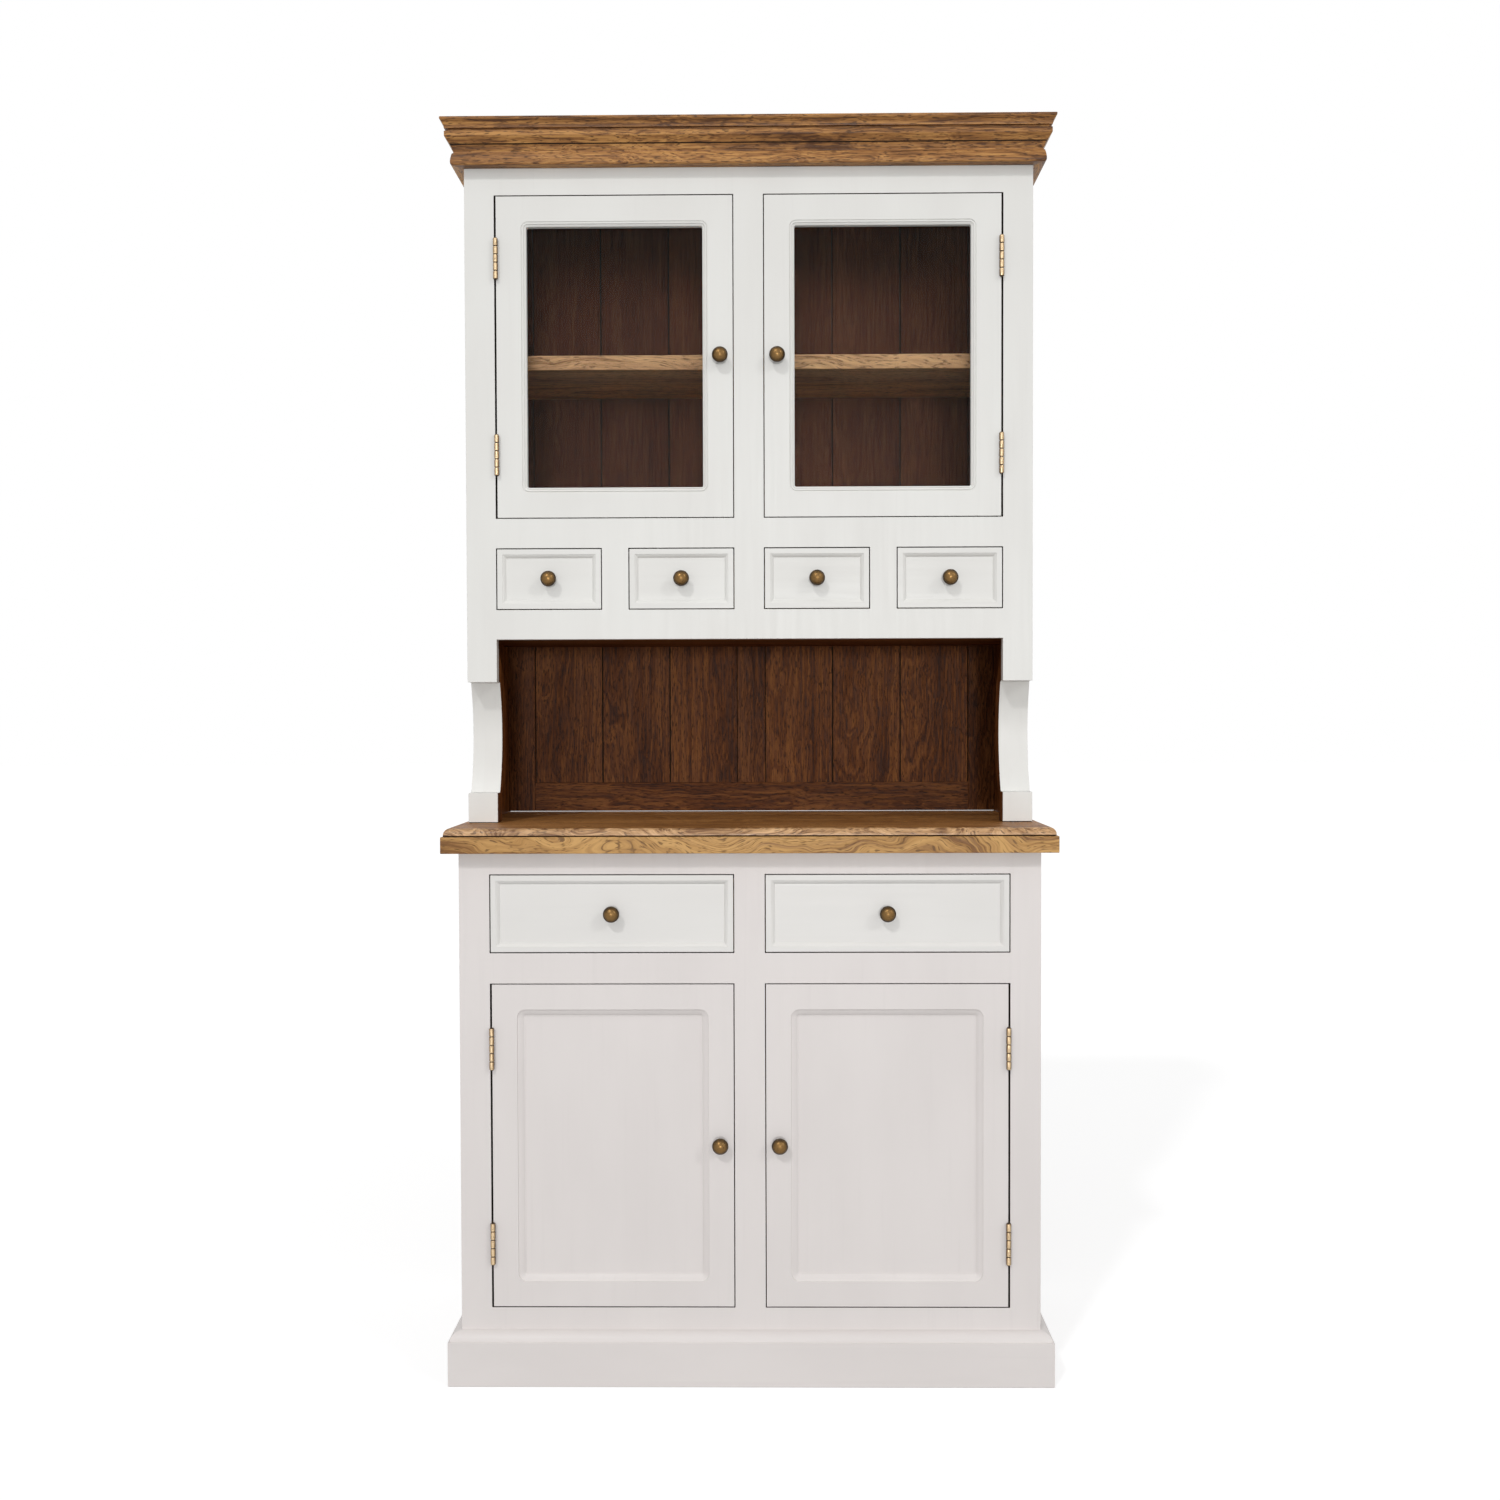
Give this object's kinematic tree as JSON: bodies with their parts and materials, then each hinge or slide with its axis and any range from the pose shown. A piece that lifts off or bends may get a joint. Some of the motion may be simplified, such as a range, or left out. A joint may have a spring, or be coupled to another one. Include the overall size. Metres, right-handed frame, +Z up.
{
  "type": "dresser with hutch",
  "caption": "Tall dresser: painted cupboard base with drawers and a moulded wooden worktop, under a hutch with an open niche, small drawers and glazed doors.",
  "frame": {"origin": "on the floor below the middle of the worktop, at the centre of the bounding box's underside", "axes": "+Z up, +X to the right seen from the front, and -Y out of the front towards the user, with the wall side at +Y"},
  "size_m": [1.024, 0.44, 2.091],
  "materials": {
    "white_paint": "off-white satin paint on wood",
    "honey_oak": "honey-coloured waxed oak with open grain",
    "brown_oak": "mid-brown waxed oak",
    "dark_stained_wood": "dark brown stained wood, satin",
    "plain_wood": "unfinished light wood",
    "clear_glass": "clear float glass",
    "aged_brass": "antique brass, worn brighter on the edges"
  },
  "bodies": {
    "root": {"plinth": "white_paint", "base_side_left": "white_paint", "base_side_right": "white_paint", "base_face_frame": "white_paint", "base_back_panel": "dark_stained_wood", "base_floor": "dark_stained_wood", "base_shelf": "dark_stained_wood", "base_drawer_bed": "plain_wood", "worktop_slab": "honey_oak", "worktop_top_board": "honey_oak", "hutch_side_left": "white_paint", "hutch_side_right": "white_paint", "bracket_left": "white_paint", "bracket_right": "white_paint", "hutch_face_frame": "white_paint", "small_drawer_bed": "dark_stained_wood", "hutch_floor": "dark_stained_wood", "hutch_shelf": "dark_stained_wood", "hutch_back_frame": "dark_stained_wood", "hutch_back_boards": "dark_stained_wood", "cornice": "brown_oak", "hutch_cap": "brown_oak", "base_door_left_upper_hinge": "aged_brass", "base_door_left_lower_hinge": "aged_brass", "base_door_right_upper_hinge": "aged_brass", "base_door_right_lower_hinge": "aged_brass", "glazed_door_left_upper_hinge": "aged_brass", "glazed_door_left_lower_hinge": "aged_brass", "glazed_door_right_upper_hinge": "aged_brass", "glazed_door_right_lower_hinge": "aged_brass"},
    "base_door_left": {"base_door_left_frame": "white_paint", "base_door_left_panel": "white_paint", "base_door_left_knob": "aged_brass"},
    "base_door_right": {"base_door_right_frame": "white_paint", "base_door_right_panel": "white_paint", "base_door_right_knob": "aged_brass"},
    "glazed_door_left": {"glazed_door_left_frame": "white_paint", "glazed_door_left_glass": "clear_glass", "glazed_door_left_knob": "aged_brass"},
    "glazed_door_right": {"glazed_door_right_frame": "white_paint", "glazed_door_right_glass": "clear_glass", "glazed_door_right_knob": "aged_brass"},
    "wide_drawer_left": {"wide_drawer_left_front": "white_paint", "wide_drawer_left_box": "plain_wood", "wide_drawer_left_knob": "aged_brass"},
    "wide_drawer_right": {"wide_drawer_right_front": "white_paint", "wide_drawer_right_box": "plain_wood", "wide_drawer_right_knob": "aged_brass"},
    "small_drawer_1": {"small_drawer_1_front": "white_paint", "small_drawer_1_box": "plain_wood", "small_drawer_1_knob": "aged_brass"},
    "small_drawer_2": {"small_drawer_2_front": "white_paint", "small_drawer_2_box": "plain_wood", "small_drawer_2_knob": "aged_brass"},
    "small_drawer_3": {"small_drawer_3_front": "white_paint", "small_drawer_3_box": "plain_wood", "small_drawer_3_knob": "aged_brass"},
    "small_drawer_4": {"small_drawer_4_front": "white_paint", "small_drawer_4_box": "plain_wood", "small_drawer_4_knob": "aged_brass"}
  },
  "joints": [
    {"name": "base_door_left_swing", "type": "hinge", "parent": "root", "child": "base_door_left", "pos_m": [-0.422, -0.1993, 0.391], "axis": [0, 0, -1], "range_deg": [0, 170]},
    {"name": "base_door_right_swing", "type": "hinge", "parent": "root", "child": "base_door_right", "pos_m": [0.422, -0.1993, 0.391], "axis": [0, 0, 1], "range_deg": [0, 170]},
    {"name": "glazed_door_left_swing", "type": "hinge", "parent": "root", "child": "glazed_door_left", "pos_m": [-0.425, -0.0963, 1.7], "axis": [0, 0, -1], "range_deg": [0, 170]},
    {"name": "glazed_door_right_swing", "type": "hinge", "parent": "root", "child": "glazed_door_right", "pos_m": [0.425, -0.0963, 1.7], "axis": [0, 0, 1], "range_deg": [0, 170]},
    {"name": "wide_drawer_left_slide", "type": "slide", "parent": "root", "child": "wide_drawer_left", "axis": [0, -1, 0], "range_m": [0, 0.3]},
    {"name": "wide_drawer_right_slide", "type": "slide", "parent": "root", "child": "wide_drawer_right", "axis": [0, -1, 0], "range_m": [0, 0.3]},
    {"name": "small_drawer_1_slide", "type": "slide", "parent": "root", "child": "small_drawer_1", "axis": [0, -1, 0], "range_m": [0, 0.2]},
    {"name": "small_drawer_2_slide", "type": "slide", "parent": "root", "child": "small_drawer_2", "axis": [0, -1, 0], "range_m": [0, 0.2]},
    {"name": "small_drawer_3_slide", "type": "slide", "parent": "root", "child": "small_drawer_3", "axis": [0, -1, 0], "range_m": [0, 0.2]},
    {"name": "small_drawer_4_slide", "type": "slide", "parent": "root", "child": "small_drawer_4", "axis": [0, -1, 0], "range_m": [0, 0.2]}
  ]
}
